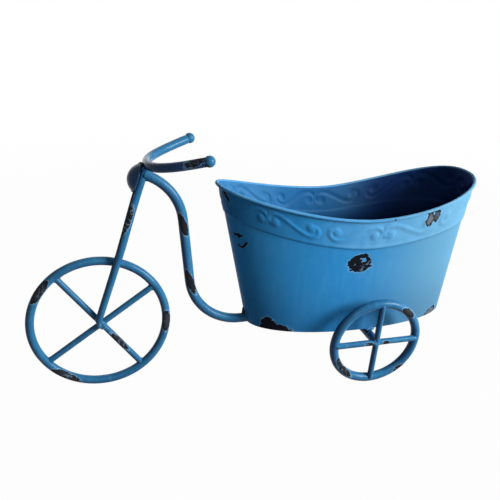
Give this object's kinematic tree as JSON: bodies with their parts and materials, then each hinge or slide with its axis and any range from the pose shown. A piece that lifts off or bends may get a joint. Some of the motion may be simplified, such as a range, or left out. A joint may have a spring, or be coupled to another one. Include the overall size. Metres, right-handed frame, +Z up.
{
  "type": "bicycle planter",
  "caption": "Bicycle ornament of bent and welded steel bar that carries an oval sheet-metal tub with a saddle-shaped, rolled rim for a plant",
  "frame": {"origin": "on the ground under the middle of the bounding box", "axes": "+X to the rear, +Y to the right side, +Z up; the front wheel is at -X"},
  "size_m": [0.4598, 0.1388, 0.2466],
  "materials": {
    "blue_paint": "satin blue paint, rubbed and chipped down to dark primer",
    "zinc_wire": "galvanised"
  },
  "bodies": {
    "root": {"tub_wall": "blue_paint", "tub_floor": "blue_paint", "rim_wire": "zinc_wire", "frame_tube": "blue_paint", "fork_rod": "blue_paint", "handlebar": "blue_paint", "grip_ball_left": "blue_paint", "grip_ball_right": "blue_paint", "lamp_bowl": "blue_paint", "rear_axle": "blue_paint", "front_ring": "blue_paint", "front_spoke_long": "blue_paint", "front_spoke_upper": "blue_paint", "front_spoke_lower": "blue_paint", "rear_ring_left": "blue_paint", "rear_spoke_long_left": "blue_paint", "rear_spoke_back_left": "blue_paint", "rear_spoke_front_left": "blue_paint", "rear_ring_right": "blue_paint", "rear_spoke_long_right": "blue_paint", "rear_spoke_back_right": "blue_paint", "rear_spoke_front_right": "blue_paint"}
  },
  "joints": []
}
